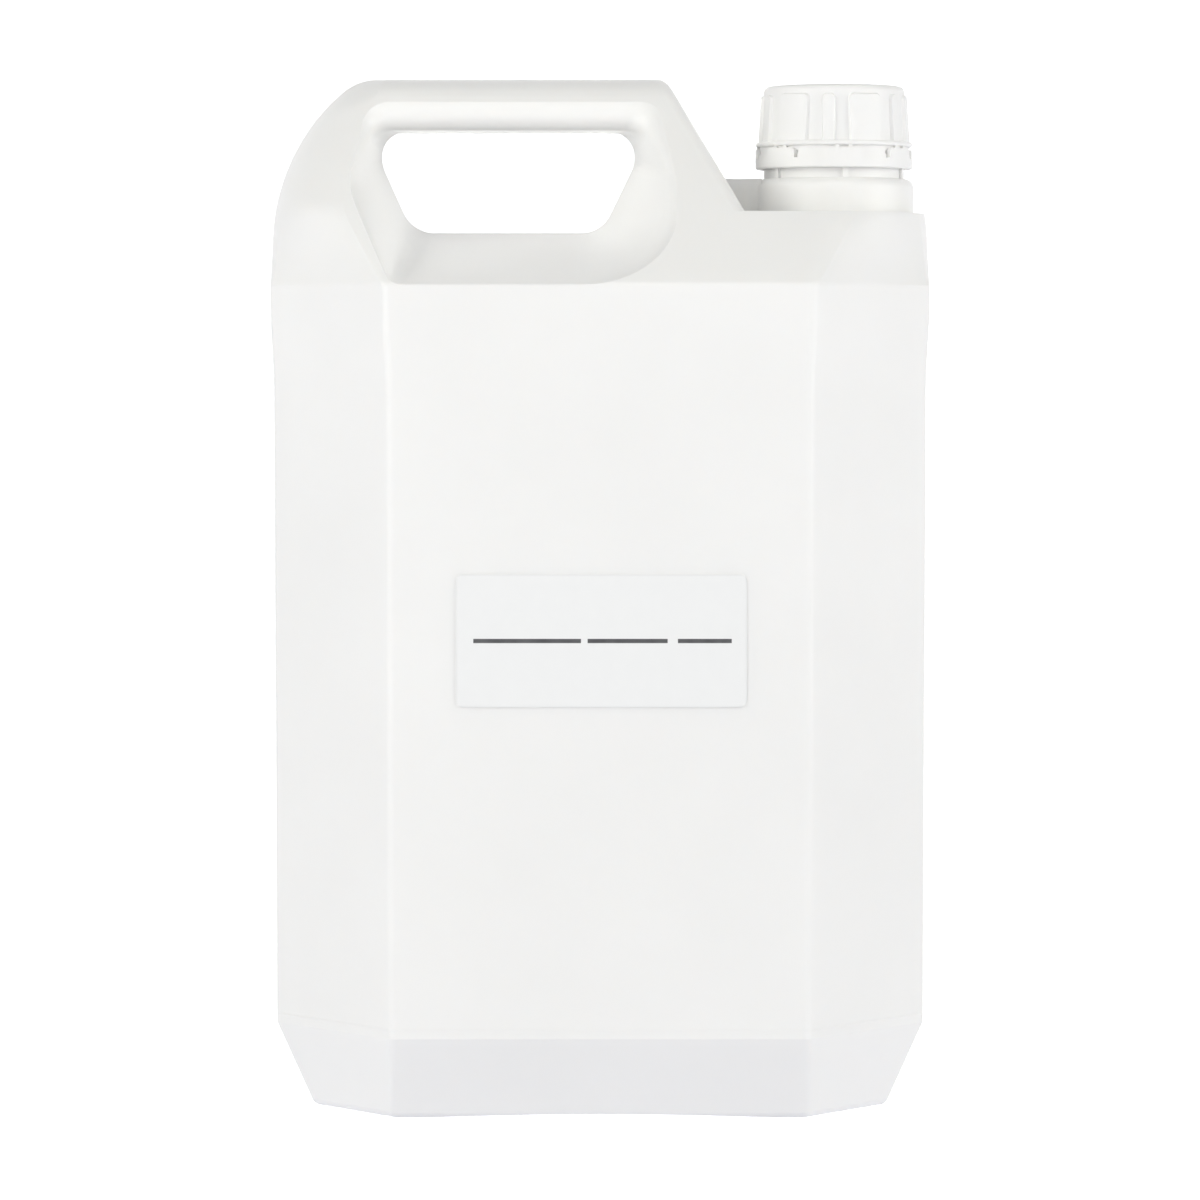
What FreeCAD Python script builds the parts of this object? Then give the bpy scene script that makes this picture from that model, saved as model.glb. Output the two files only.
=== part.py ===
import FreeCAD, Part
import math
import os

# Five-litre plastic can for syrup: an eight-sided blown body whose roof slopes up from
# all sides to a handle, a neck on a low platform beside it, a screw cap with its
# tamper band, and a label on the front panel.  Millimetres, +Z up, front towards -Y.
# X runs along the handle, with the blind end at -X and the neck at +X.

V = FreeCAD.Vector

# --- walls ---------------------------------------------------------------------------
BODY_WIDTH = 190.0          # across the shoulders, in X
BODY_DEPTH = 125.0          # front panel to back panel, in Y
SHOULDER_Z = 237.2          # crease between walls and sloping roof
CHAMFER_X = 34.5            # the cut corners of the plan, along X...
CHAMFER_Y = 37.5            # ...and along Y
CORNER_RADIUS = 3.0         # upright corners of the walls
STEP_DROP = 5.2             # the narrow walls draw in from this far under the crease...
STEP_HEIGHT = 25.0          # ...over this height
STEP_IN = 1.0               # how far they draw in, each side
STEP_LEVELS = 5             # level sections that draw this step
FOOT_DRAW = 0.3             # further draw of the narrow walls down to the foot
CREASE_RADIUS = 2.0         # rounding of the crease

# --- foot ----------------------------------------------------------------------------
FOOT_Z = 24.0               # top of the bevel round the foot
FOOT_INSET_Y = 10.0         # bevel inset at the front and back
FOOT_INSET_X = 11.0         # bevel inset at the narrow sides
FOOT_RADIUS = 3.0           # rounding of the standing edge
ARCH_HEIGHT = 1.3           # lift of the foot between its four corners
ARCH_MARGIN_X = 43.0        # the arch under the front and back starts this far in...
ARCH_MARGIN_Y = 40.5        # ...and the one under the narrow sides this far
DISH_DEPTH = 2.6            # dished middle of the base
DISH_MARGIN = 17.0          # width of the standing rim round the dish
DISH_SLANT = 6.0            # width of the dish's sloping side
WELD_WIDTH = 2.4            # pinch-off weld across the base
WELD_HEIGHT = 1.4

# --- roof and handle -----------------------------------------------------------------
HANDLE_TOP = 297.5
HANDLE_HALF = 9.14          # half thickness of the handle at its top, before rounding
FLANK_RISE = 13.4           # the blind end stands upright this far above the crease...
FLANK_LEAN = 24.6           # ...and leans in by this much at the top
CROWN_REACH = 7.2           # the rounding of the top's edges takes this much of it
CORNER_RISE = 20.8          # height over which the roof corners turn fully round
FLANK_TIP = 1.32            # half width left of the narrow walls' flats at the handle's top
ROOF_LEVELS = 12            # level sections that draw the roof...
ROOF_CROWDING = 1.5         # ...set closer together towards the crease
PLATFORM_RISE = 20.9        # flat that carries the neck, above the crease
STRUT_GAP = 3.85            # foot of the handle's slanted end to the collar
STRUT_LEAN = 22.1           # how far the slanted end leans back over its height
STRUT_RADIUS = 4.0          # rounding of its edges

# --- hand hole -----------------------------------------------------------------------
GRIP_HEIGHT = 15.3          # top of the handle to the top of the hole
HOLE_RISE = 15.6            # crease to the bottom of the hole
POCKET_DROP = 0.3           # the pocket runs out just under the crease
GRIP_RADIUS = 5.5           # lower edges of the grip
MOUTH_STEPS = 6             # sections that draw the rounded mouth of the pocket
MOUTH_SKIN = 0.12           # depth at which the rounding runs out into the slope

# --- neck ----------------------------------------------------------------------------
NECK_INSET = 26.6           # axis of the neck in from the narrow wall
NECK_RADIUS = 20.5          # the stretch that shows under the tamper band
NECK_SHOW = 5.0             # its height above the collar
COLLAR_PROUD = 2.85         # collar outside the neck
COLLAR_HEIGHT = 10.4
COLLAR_ROUND = 2.7
FINISH_STEP = 1.9           # the threaded stretch inside the cap is this much slimmer...
FINISH_HEIGHT = 23.9        # ...and rises this far above the collar
FINISH_CHAMFER = 0.8
RATCHETS = 6                # ramps that the tamper band turns over
RATCHET_FIRST = 6.6         # degrees from the front, towards +X
RATCHET_WIDTH = 1.5
RATCHET_PROUD = 0.9
WEB_HALF = 9.0              # half thickness of the web between handle and collar
WEB_WAIST = 5.4             # its thickness lost to the hollow of each face
SINK = 2.0                  # how deep added pieces run into what they stand on

# --- cap -----------------------------------------------------------------------------
CAP_FIT = 0.3               # clearance between neck and cap
BAND_LIFT = 2.8             # collar to the tamper band
BAND_HEIGHT = 5.1
BAND_WALL = 2.15            # thickness of the tamper band
BAND_ROUND = 0.6
BAND_LIP = 0.7              # the band rises this much more between its windows
LIP_SHOULDER = 2.4          # degrees over which it rises
LINK_WALL = 0.9             # thickness of the wall behind the slot
SLOT_HEIGHT = 0.6
BRIDGE_WIDTH = 1.1
BRIDGE_SPREAD = 5.0         # degrees from the middle of a land to its two bridges
WINDOWS = 7
WINDOW_FIRST = -20.9        # degrees from the front, towards +X
WINDOW_ARC = 23.8
WINDOW_DROP = 2.2
LEDGE_PROUD = 0.45          # ledge along the foot of each window
LEDGE_HEIGHT = 1.1
NOTCH_ARC = 1.8             # degrees; deep notch at the far end of each window
NOTCH_DEPTH = 0.6
BEAD_STEP = 0.15            # bead inside the band
BEAD_HEIGHT = 1.5
BEAD_ROUND = 0.7
CAP_HEIGHT = 24.1           # from the foot of the band
CAP_ROUND = 1.7
CAP_WALL = 2.5              # thickness of the cap at its foot, between the panels
CAP_TAPER = 0.9             # narrower at the top by this much
PANEL_PROUD = 0.75
PANEL_DROP = 2.4            # top of the cap to the top of the panels
PANEL_CORNER = 1.7
PANEL_SLANT = 0.45          # the panels are narrower at their face, each side
WIDE_PANEL = 28.5           # degrees
NARROW_PANEL = 12.5
WIDE_FIRST = 23.2
NARROW_FIRST = -6.8
PANEL_PAIRS = 6

# --- label ---------------------------------------------------------------------------
LABEL_WIDTH = 82.0
LABEL_HEIGHT = 37.5
LABEL_X = 0.4
LABEL_RISE = 6.2            # its middle above the middle of the panel
LABEL_RADIUS = 2.0
LABEL_FILM = 0.25

# --- places that follow from the sizes -------------------------------------------------
HALF_WIDTH = BODY_WIDTH / 2
HALF_DEPTH = BODY_DEPTH / 2
PANEL_HALF = HALF_WIDTH - CHAMFER_X
SIDE_HALF = HALF_DEPTH - CHAMFER_Y
STEP_TOP = SHOULDER_Z - STEP_DROP
STEP_BOTTOM = STEP_TOP - STEP_HEIGHT
SLOPE_RISE = (HANDLE_TOP - SHOULDER_Z) / (HALF_DEPTH - HANDLE_HALF)     # rise over run
SLOPE = math.atan(SLOPE_RISE)
CROWN_RADIUS = CROWN_REACH / math.tan(SLOPE / 2)
CREASE_REACH = CREASE_RADIUS * math.tan((math.pi / 2 - SLOPE) / 2)
FLANK_Z = SHOULDER_Z + FLANK_RISE
FLANK_RADIUS = (FLANK_LEAN ** 2 + (HANDLE_TOP - FLANK_Z) ** 2) / (2 * FLANK_LEAN)
PLATFORM_Z = SHOULDER_Z + PLATFORM_RISE
COLLAR_TOP = PLATFORM_Z + COLLAR_HEIGHT
FINISH_TOP = COLLAR_TOP + FINISH_HEIGHT
NECK_X = HALF_WIDTH - NECK_INSET
COLLAR_RADIUS = NECK_RADIUS + COLLAR_PROUD
FINISH_RADIUS = NECK_RADIUS - FINISH_STEP
BAND_BORE = NECK_RADIUS + CAP_FIT
BAND_RADIUS = BAND_BORE + BAND_WALL
LINK_RADIUS = BAND_BORE + LINK_WALL
BEAD_RADIUS = BAND_RADIUS - BEAD_STEP
CAP_BORE = FINISH_RADIUS + CAP_FIT
CAP_FOOT_RADIUS = CAP_BORE + CAP_WALL
CAP_HEAD_RADIUS = CAP_FOOT_RADIUS - CAP_TAPER
STRUT_FOOT_X = NECK_X - COLLAR_RADIUS - STRUT_GAP
STRUT_TOP_X = STRUT_FOOT_X - STRUT_LEAN
STRUT_RISE = (HANDLE_TOP - PLATFORM_Z) / STRUT_LEAN
BAND_BOTTOM = COLLAR_TOP + BAND_LIFT
BEAD_Z = BAND_BOTTOM + BAND_HEIGHT + BAND_LIP + SLOT_HEIGHT
CAP_TOP = BAND_BOTTOM + CAP_HEIGHT
PANEL_TOP = CAP_TOP - PANEL_DROP
LABEL_Z = (FOOT_Z + SHOULDER_Z) / 2 + LABEL_RISE
HOLE_TOP = HANDLE_TOP - GRIP_HEIGHT
HOLE_BOTTOM = SHOULDER_Z + HOLE_RISE
POCKET_BOTTOM = SHOULDER_Z - POCKET_DROP
BLIND = -HALF_WIDTH         # blind end of the can

# corners of the hole in the middle plane, anticlockwise from the front: x, z, radius
HOLE = [
    (BLIND + 40.2, HOLE_BOTTOM, 10.0), (STRUT_TOP_X - 18.7, HOLE_BOTTOM, 9.5),
    (STRUT_TOP_X - 9.0, HOLE_TOP - 9.5, 8.0), (STRUT_TOP_X - 9.2, HOLE_TOP, 7.0),
    (BLIND + 31.4, HOLE_TOP, 7.0), (BLIND + 31.3, HOLE_TOP - 9.6, 10.0),
]
# the matching corners of the pocket on the slopes: x, z, radius, rounding of the rim
POCKET = [
    (BLIND + 36.4, POCKET_BOTTOM, 5.0, 0.0), (STRUT_TOP_X + 2.6, POCKET_BOTTOM, 27.0, 0.0),
    (STRUT_TOP_X + 1.2, HOLE_TOP - 14.2, 18.0, 2.4), (STRUT_TOP_X - 6.4, HOLE_TOP, 6.0, 5.0),
    (BLIND + 29.0, HOLE_TOP, 6.0, 5.0), (BLIND + 22.4, HOLE_TOP - 16.7, 26.0, 2.4),
]
ROUND_POLE = 4 * (math.sqrt(2) - 1) / 3     # cubic poles of a quarter circle


def rounded_polygon(corners):
    """Closed wire through 3-D corners (point, radius), each turned by an arc."""
    edges = []
    spans = []
    count = len(corners)
    for i in range(count):
        point, radius = corners[i]
        back = corners[i - 1][0] - point
        ahead = corners[(i + 1) % count][0] - point
        half = back.getAngle(ahead) / 2
        reach = radius / math.tan(half)
        start = point + V(back).normalize() * reach
        end = point + V(ahead).normalize() * reach
        bisector = (V(back).normalize() + V(ahead).normalize()).normalize()
        middle = point + bisector * (radius / math.sin(half) - radius)
        spans.append((start, middle, end))
    for i in range(count):
        start, middle, end = spans[i]
        edges.append(Part.Arc(start, middle, end).toShape())
        edges.append(Part.LineSegment(end, spans[(i + 1) % count][0]).toShape())
    return Part.Wire(edges)


def octagon(z, half_width, half_depth, panel_half, side_half):
    """Level outline of the can, with its upright corners rounded."""
    quarter = [(half_width, side_half), (panel_half, half_depth)]
    points = [(x, y) for x, y in quarter]
    points += [(-x, y) for x, y in reversed(quarter)]
    points += [(-x, -y) for x, y in quarter]
    points += [(x, -y) for x, y in reversed(quarter)]
    return rounded_polygon([(V(x, y, z), CORNER_RADIUS) for x, y in points])


def wall_outline(z, draw):
    """Outline of the walls where the narrow sides draw in by this much."""
    return octagon(z, HALF_WIDTH - draw, HALF_DEPTH, PANEL_HALF - draw, SIDE_HALF)


def walls():
    """Upright walls from the foot bevel to the rounding of the crease."""
    low = wall_outline(FOOT_Z, STEP_IN + FOOT_DRAW)
    high = wall_outline(SHOULDER_Z - CREASE_REACH, 0.0)
    step = []
    for k in range(STEP_LEVELS + 1):
        share = k / STEP_LEVELS
        draw = STEP_IN * (1 + math.cos(math.pi * share)) / 2
        step.append(wall_outline(STEP_BOTTOM + STEP_HEIGHT * share, draw))
    plain = Part.makeLoft([low, step[0]], True, True)
    return plain.fuse([Part.makeLoft(step, True, False), Part.makeLoft([step[-1], high], True, True)])


def foot():
    """Bevelled foot, rounded at the standing edge and arched between its corners."""
    top_half = HALF_WIDTH - STEP_IN - FOOT_DRAW
    top_panel = PANEL_HALF - STEP_IN - FOOT_DRAW
    low_half = top_half - FOOT_INSET_X
    chamfer_slope = (HALF_DEPTH - SIDE_HALF) / (top_half - top_panel)
    low_side = HALF_DEPTH - FOOT_INSET_Y - chamfer_slope * (low_half - top_panel)
    top = octagon(FOOT_Z, top_half, HALF_DEPTH, top_panel, SIDE_HALF)
    low = octagon(0.0, low_half, HALF_DEPTH - FOOT_INSET_Y, top_panel, low_side)
    block = Part.makeLoft([low, top], True, True)
    rim = [e for e in block.Edges if e.BoundBox.ZMax < 0.01]
    block = block.makeFillet(FOOT_RADIUS, rim)
    block = block.cut(arch_cutter(HALF_WIDTH - ARCH_MARGIN_X, True))
    block = block.cut(arch_cutter(HALF_DEPTH - ARCH_MARGIN_Y, False))
    return block.cut(base_dish(low_half, low_side))


def arch_cutter(half_span, along_x):
    """Shallow arch right across the base."""
    reach = BODY_WIDTH
    ends = [V(-half_span, 0, 0), V(0, 0, ARCH_HEIGHT), V(half_span, 0, 0)]
    arc = Part.Arc(*ends).toShape()
    chord = Part.LineSegment(ends[2], ends[0]).toShape()
    face = Part.Face(Part.Wire([arc, chord]))
    solid = face.extrude(V(0, 2 * reach, 0))
    solid.translate(V(0, -reach, 0))
    if not along_x:
        solid.rotate(V(0, 0, 0), V(0, 0, 1), 90)
    return solid


def base_dish(low_half, low_side):
    """Hollow in the base, with the pinch-off weld left standing in it."""
    half = low_half - DISH_MARGIN
    depth = HALF_DEPTH - FOOT_INSET_Y - DISH_MARGIN
    panel = PANEL_HALF - DISH_MARGIN
    side = low_side - DISH_MARGIN / 2
    outer = octagon(0.0, half, depth, panel, side)
    inner = octagon(DISH_DEPTH, half - DISH_SLANT, depth - DISH_SLANT, panel - DISH_SLANT / 2,
                    side - DISH_SLANT / 2)
    dish = Part.makeLoft([outer, inner], True, True)
    weld = Part.makeBox(BODY_WIDTH, WELD_WIDTH, WELD_HEIGHT,
                        V(-HALF_WIDTH, -WELD_WIDTH / 2, DISH_DEPTH - WELD_HEIGHT))
    return dish.cut(weld)


def flank_x(z):
    """Half width of the roof at height z, from the curve of the blind end."""
    if z <= FLANK_Z:
        return HALF_WIDTH
    return HALF_WIDTH - FLANK_RADIUS + math.sqrt(FLANK_RADIUS ** 2 - (z - FLANK_Z) ** 2)


def slope_run(z):
    """How far the front slope lies in from the front panel, rounded at the crease."""
    if z <= SHOULDER_Z - CREASE_REACH:
        return 0.0
    if z < SHOULDER_Z + CREASE_REACH * math.sin(SLOPE):
        above = z - SHOULDER_Z + CREASE_REACH
        return CREASE_RADIUS - math.sqrt(CREASE_RADIUS ** 2 - above ** 2)
    return (z - SHOULDER_Z) / SLOPE_RISE


def bezier_split(poles, t):
    """De Casteljau: the two halves of a cubic at t."""
    a, b, c, d = poles
    ab, bc, cd = a + (b - a) * t, b + (c - b) * t, c + (d - c) * t
    abc, bcd = ab + (bc - ab) * t, bc + (cd - bc) * t
    mid = abc + (bcd - abc) * t
    return [a, ab, abc, mid], [mid, bcd, cd, d]


def turn(start, corner, end):
    """Poles of a cubic that rounds a corner."""
    return [start, start + (corner - start) * 0.6, end + (corner - end) * 0.6, end]


def corner_curves(z):
    """Poles of the three cubics that round one roof corner at height z.

    At the shoulder they are the rounded front corner, the chamfer and the rounded
    side corner of the walls.  Higher up all three lie on one quarter oval.
    """
    depth = HALF_DEPTH - slope_run(z)
    half = flank_x(z)
    climb = max(0.0, z - SHOULDER_Z)
    side = SIDE_HALF * (FLANK_TIP / SIDE_HALF) ** (climb / (HANDLE_TOP - SHOULDER_Z))
    nose = min(CORNER_RADIUS, side) * 0.5
    start, end = V(-PANEL_HALF, -depth, z), V(-half, -side, z)
    chamfer = (end - start).normalize()
    along = [start + V(CORNER_RADIUS * 0.5, 0, 0), end + V(0, nose, 0)]
    inward = [start + chamfer * CORNER_RADIUS * 0.5, end - chamfer * CORNER_RADIUS * 0.5]
    sharp = [
        turn(along[0], start, inward[0]),
        [inward[0] + (inward[1] - inward[0]) * k / 3 for k in range(4)],
        turn(inward[1], end, along[1]),
    ]
    a, d = along[0], along[1]
    corner = V(d.x, a.y, z)
    oval = [a, a + (corner - a) * ROUND_POLE, d + (corner - d) * ROUND_POLE, d]
    first, rest = bezier_split(oval, 0.25)
    second, third = bezier_split(rest, 2.0 / 3)
    full = [first, second, third]
    w = min(1.0, climb / CORNER_RISE)
    return [[s * (1 - w) + f * w for s, f in zip(sp, fp)] for sp, fp in zip(sharp, full)]


def cubic(poles):
    curve = Part.BezierCurve()
    curve.setPoles(poles)
    return curve.toShape()


def roof_section(z):
    """Level outline of the blind half of the roof, from the middle out to the end."""
    corner = corner_curves(z)
    flipped = [[V(p.x, -p.y, p.z) for p in reversed(poles)] for poles in reversed(corner)]
    edges = [Part.LineSegment(V(0, corner[0][0].y, z), corner[0][0]).toShape()]
    edges += [cubic(poles) for poles in corner]
    edges.append(Part.LineSegment(corner[2][3], flipped[0][0]).toShape())
    edges += [cubic(poles) for poles in flipped]
    edges.append(Part.LineSegment(flipped[2][3], V(0, flipped[2][3].y, z)).toShape())
    edges.append(Part.LineSegment(V(0, flipped[2][3].y, z), V(0, corner[0][0].y, z)).toShape())
    return Part.Wire(edges)


def roof():
    """Sloping roof with its rounded ends and crease, before the notch for the neck."""
    low = SHOULDER_Z - CREASE_REACH
    high = SHOULDER_Z + CREASE_REACH * math.sin(SLOPE)
    band = [low + (high - low) * k / 4 for k in range(5)]
    levels = []
    for k in range(ROOF_LEVELS + 1):
        levels.append(high + (HANDLE_TOP - high) * (k / ROOF_LEVELS) ** ROOF_CROWDING)
    crease = Part.makeLoft([roof_section(z) for z in band], True, False)
    slopes = Part.makeLoft([roof_section(z) for z in levels], True, False)
    blind = slopes.fuse(crease)
    return blind.fuse(blind.mirror(V(0, 0, 0), V(1, 0, 0)))


def notch():
    """Everything cut away above the platform, right of the handle's slanted end."""
    low_x = STRUT_TOP_X + (HANDLE_TOP - PLATFORM_Z) / STRUT_RISE
    over = 30.0
    points = [
        V(low_x, -HALF_DEPTH, PLATFORM_Z), V(HALF_WIDTH + over, -HALF_DEPTH, PLATFORM_Z),
        V(HALF_WIDTH + over, -HALF_DEPTH, HANDLE_TOP + over),
        V(STRUT_TOP_X - over / STRUT_RISE, -HALF_DEPTH, HANDLE_TOP + over),
    ]
    face = Part.Face(Part.makePolygon(points + points[:1]))
    return face.extrude(V(0, BODY_DEPTH, 0))


def on_slope(x, z, depth):
    """Point with the given x and z moved square to the front slope, depth inwards."""
    run = (z - SHOULDER_Z) / SLOPE_RISE
    return V(x, -HALF_DEPTH + run, z) + V(0, math.sin(SLOPE), -math.cos(SLOPE)) * depth


def slope_depth(point):
    """How deep a point lies under the front slope."""
    return (point - V(0, -HALF_DEPTH, SHOULDER_Z)).dot(V(0, math.sin(SLOPE), -math.cos(SLOPE)))


def round_over(radius, depth):
    """How far a rounding of this radius has opened at this depth."""
    below = min(radius, max(0.0, radius - depth))
    return radius - math.sqrt(radius ** 2 - below ** 2)


def grip_edge(depth):
    """Point of the rounded lower edge of the grip, this deep under the slope."""
    centre = V(0, 0, HOLE_TOP + GRIP_RADIUS)
    centre.y = -HALF_DEPTH + (centre.z - SHOULDER_Z) / SLOPE_RISE + GRIP_RADIUS / math.sin(SLOPE)
    across = GRIP_RADIUS - max(0.0, depth)
    down = math.sqrt(GRIP_RADIUS ** 2 - across ** 2)
    outward = V(0, -math.sin(SLOPE), math.cos(SLOPE))
    upward = V(0, math.cos(SLOPE), math.sin(SLOPE))
    return centre + outward * (GRIP_RADIUS - depth) - upward * down


def pocket_section(depth):
    """Outline of the pocket on a plane this deep under the front slope."""
    corners = []
    for i in range(len(HOLE)):
        hole_x, hole_z, hole_radius = HOLE[i]
        rim_x, rim_z, rim_radius, rounding = POCKET[i]
        deep = V(hole_x, 0, hole_z)
        rim = on_slope(rim_x, rim_z, 0.0)
        share = depth / slope_depth(deep)
        point = rim + (deep - rim) * share
        if rounding > 0:
            point.x += math.copysign(round_over(rounding, depth), rim_x)
        if rim_z == HOLE_TOP:
            edge = grip_edge(depth)
            point = V(point.x, edge.y, edge.z)
        corners.append((point, rim_radius + (hole_radius - rim_radius) * share))
    return rounded_polygon(corners)


def hand_hole():
    """Hole through the handle, flaring to a rounded pocket at the front and back."""
    hole = rounded_polygon([(V(x, 0, z), radius) for x, z, radius in HOLE])
    root = GRIP_RADIUS * (1 + math.cos(SLOPE))
    depths = [MOUTH_SKIN]
    for k in range(1, MOUTH_STEPS + 1):
        depths.append(root * (1 - math.cos(k * math.pi / 2 / MOUTH_STEPS)))
    mouth = Part.makeLoft([pocket_section(d) for d in depths], True, False)
    throat = Part.makeLoft([pocket_section(root), hole], True, True)
    cap = pocket_section(MOUTH_SKIN)
    over = Part.Face(cap).extrude(V(0, -BODY_DEPTH / 4, 0))
    front = mouth.fuse([throat, over])
    return front.fuse(front.mirror(V(0, 0, 0), V(0, 1, 0)))


def at_height(shape, low):
    """Edges of a shape that lie wholly above this height."""
    return [e for e in shape.Edges if e.BoundBox.ZMin > low]


def on_strut_end(edge):
    """Whether an edge lies in the slanted end plane of the handle."""
    middle = edge.valueAt((edge.FirstParameter + edge.LastParameter) / 2)
    for p in [v.Point for v in edge.Vertexes] + [middle]:
        if abs(p.x - STRUT_TOP_X - (HANDLE_TOP - p.z) / STRUT_RISE) > 0.02:
            return False
    return True


def crown():
    """Roof with the notch cut and the edges of the handle rounded."""
    shape = roof().removeSplitter().cut(notch())
    rim = [e for e in at_height(shape, HANDLE_TOP - 0.1) if not on_strut_end(e)]
    shape = shape.makeFillet(CROWN_RADIUS, rim)
    shape.fix(1e-4, 1e-5, 1e-3)
    end = [e for e in shape.Edges if on_strut_end(e) and e.BoundBox.ZMax > PLATFORM_Z + 1]
    return shape.makeFillet(STRUT_RADIUS, end)


def sector(first, arc, inner, outer, low, height):
    """Ring segment; angles in degrees from the front, towards +X."""
    ring = Part.makeCylinder(outer, height, V(0, 0, low), V(0, 0, 1), arc)
    ring = ring.cut(Part.makeCylinder(inner, height, V(0, 0, low)))
    ring.rotate(V(0, 0, 0), V(0, 0, 1), first - 90)
    return ring


def neck():
    """Collar, neck and web, with the ramps that lock the tamper band."""
    collar = Part.makeCylinder(COLLAR_RADIUS, COLLAR_HEIGHT + SINK, V(0, 0, PLATFORM_Z - SINK))
    collar = collar.makeFillet(COLLAR_ROUND, at_height(collar, COLLAR_TOP - 0.1))
    stretch = Part.makeCylinder(NECK_RADIUS, NECK_SHOW + SINK, V(0, 0, COLLAR_TOP - SINK))
    finish = Part.makeCylinder(FINISH_RADIUS, FINISH_HEIGHT, V(0, 0, COLLAR_TOP))
    finish = finish.makeChamfer(FINISH_CHAMFER, at_height(finish, FINISH_TOP - 0.1))
    shape = collar.fuse([stretch, finish])
    for k in range(RATCHETS):
        ramp = Part.makeBox(RATCHET_WIDTH, RATCHET_PROUD + SINK, BAND_LIFT + SINK,
                            V(-RATCHET_WIDTH / 2, -NECK_RADIUS - RATCHET_PROUD, COLLAR_TOP - SINK))
        ramp.rotate(V(0, 0, 0), V(0, 0, 1), RATCHET_FIRST + k * 360.0 / RATCHETS)
        shape = shape.fuse(ramp)
    shape.translate(V(NECK_X, 0, 0))
    return shape.fuse(web())


def web():
    """Web between the handle's end and the collar, hollowed on both faces."""
    left = STRUT_TOP_X + (HANDLE_TOP - COLLAR_TOP) / STRUT_RISE - SINK
    right = NECK_X - COLLAR_RADIUS + SINK
    middle = (left + right) / 2
    waist = WEB_HALF - WEB_WAIST
    front = Part.Arc(V(left, -WEB_HALF, 0), V(middle, -waist, 0), V(right, -WEB_HALF, 0)).toShape()
    back = Part.Arc(V(right, WEB_HALF, 0), V(middle, waist, 0), V(left, WEB_HALF, 0)).toShape()
    near = Part.LineSegment(V(right, -WEB_HALF, 0), V(right, WEB_HALF, 0)).toShape()
    far = Part.LineSegment(V(left, WEB_HALF, 0), V(left, -WEB_HALF, 0)).toShape()
    block = Part.Face(Part.Wire([front, near, back, far])).extrude(V(0, 0, COLLAR_HEIGHT + SINK))
    block.translate(V(0, 0, PLATFORM_Z - SINK))
    return block


def jug():
    """The can as one solid."""
    shape = walls().fuse([foot(), crown()])
    shape = shape.cut(hand_hole())
    return shape.fuse(neck())


def cap_wall_radius(z):
    """Radius of the tapered cap wall between its panels."""
    share = (z - BAND_BOTTOM) / CAP_HEIGHT
    return CAP_FOOT_RADIUS + (CAP_HEAD_RADIUS - CAP_FOOT_RADIUS) * share


def turned(profile):
    """Solid of revolution about Z from (radius, z) points."""
    points = [V(r, 0, z) for r, z in profile]
    face = Part.Face(Part.makePolygon(points + points[:1]))
    return face.revolve(V(0, 0, 0), V(0, 0, 1), 360)


def rings(shape, radius, low, high):
    """Full circles of this radius, or of any radius for None, between two heights."""
    found = []
    for edge in shape.Edges:
        box = edge.BoundBox
        if box.ZMin < low or box.ZMax > high or edge.Closed is False:
            continue
        if radius is None or abs(edge.Curve.Radius - radius) < 0.01:
            found.append(edge)
    return found


def cap_blank():
    """Cap and band before the panels, the windows and the slot's bridges."""
    ledge = COLLAR_TOP + NECK_SHOW + CAP_FIT
    band_top = BAND_BOTTOM + BAND_HEIGHT
    bead_top = BEAD_Z + BEAD_HEIGHT
    outside = [
        (BAND_BORE, BAND_BOTTOM), (BAND_RADIUS, BAND_BOTTOM), (BAND_RADIUS, band_top),
        (LINK_RADIUS, band_top), (LINK_RADIUS, BEAD_Z), (BEAD_RADIUS, BEAD_Z),
        (BEAD_RADIUS, bead_top), (cap_wall_radius(bead_top), bead_top),
        (CAP_HEAD_RADIUS, CAP_TOP), (0, CAP_TOP),
    ]
    inside = [(0, FINISH_TOP), (CAP_BORE, FINISH_TOP), (CAP_BORE, ledge), (BAND_BORE, ledge)]
    shape = turned(outside + inside)
    shape = shape.makeFillet(CAP_ROUND, rings(shape, CAP_HEAD_RADIUS, CAP_TOP - 0.1, CAP_TOP + 0.1))
    shape = shape.makeFillet(BEAD_ROUND, rings(shape, BEAD_RADIUS, BEAD_Z - 0.1, bead_top + 0.1))
    return shape.makeFillet(BAND_ROUND, rings(shape, BAND_RADIUS, BAND_BOTTOM - 0.1, BAND_BOTTOM + 0.1))


def grip_panel(centre, arc):
    """Raised panel with slanted edges and a rounded top, before it is trimmed to the wall."""
    wires = []
    for inset, away in ((0.0, CAP_HEAD_RADIUS - SINK), (0.0, CAP_HEAD_RADIUS * 0.97),
                        (PANEL_SLANT * 3, CAP_FOOT_RADIUS + SINK)):
        half = CAP_FOOT_RADIUS * math.sin(math.radians(arc / 2)) - inset
        corner = min(half - 0.01, PANEL_CORNER)
        top = PANEL_TOP - inset
        points = [(-half, BEAD_Z, 0.01), (half, BEAD_Z, 0.01), (half, top, corner), (-half, top, corner)]
        wires.append(rounded_polygon([(V(x, -away, z), r) for x, z, r in points]))
    panel = Part.makeLoft(wires, True, True)
    panel.rotate(V(0, 0, 0), V(0, 0, 1), centre)
    return panel


def grip_panels():
    """All raised panels, trimmed to a sleeve over the cap wall."""
    low = BEAD_Z + BEAD_HEIGHT / 2
    deep = CAP_BORE + 1
    sleeve = turned([
        (deep, low), (CAP_FOOT_RADIUS + PANEL_PROUD, low),
        (CAP_HEAD_RADIUS + PANEL_PROUD, PANEL_TOP + 1), (deep, PANEL_TOP + 1),
    ])
    panels = []
    for k in range(PANEL_PAIRS):
        turn_by = k * 360.0 / PANEL_PAIRS
        panels.append(sleeve.common(grip_panel(WIDE_FIRST + turn_by, WIDE_PANEL)))
        panels.append(sleeve.common(grip_panel(NARROW_FIRST + turn_by, NARROW_PANEL)))
    return panels


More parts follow.
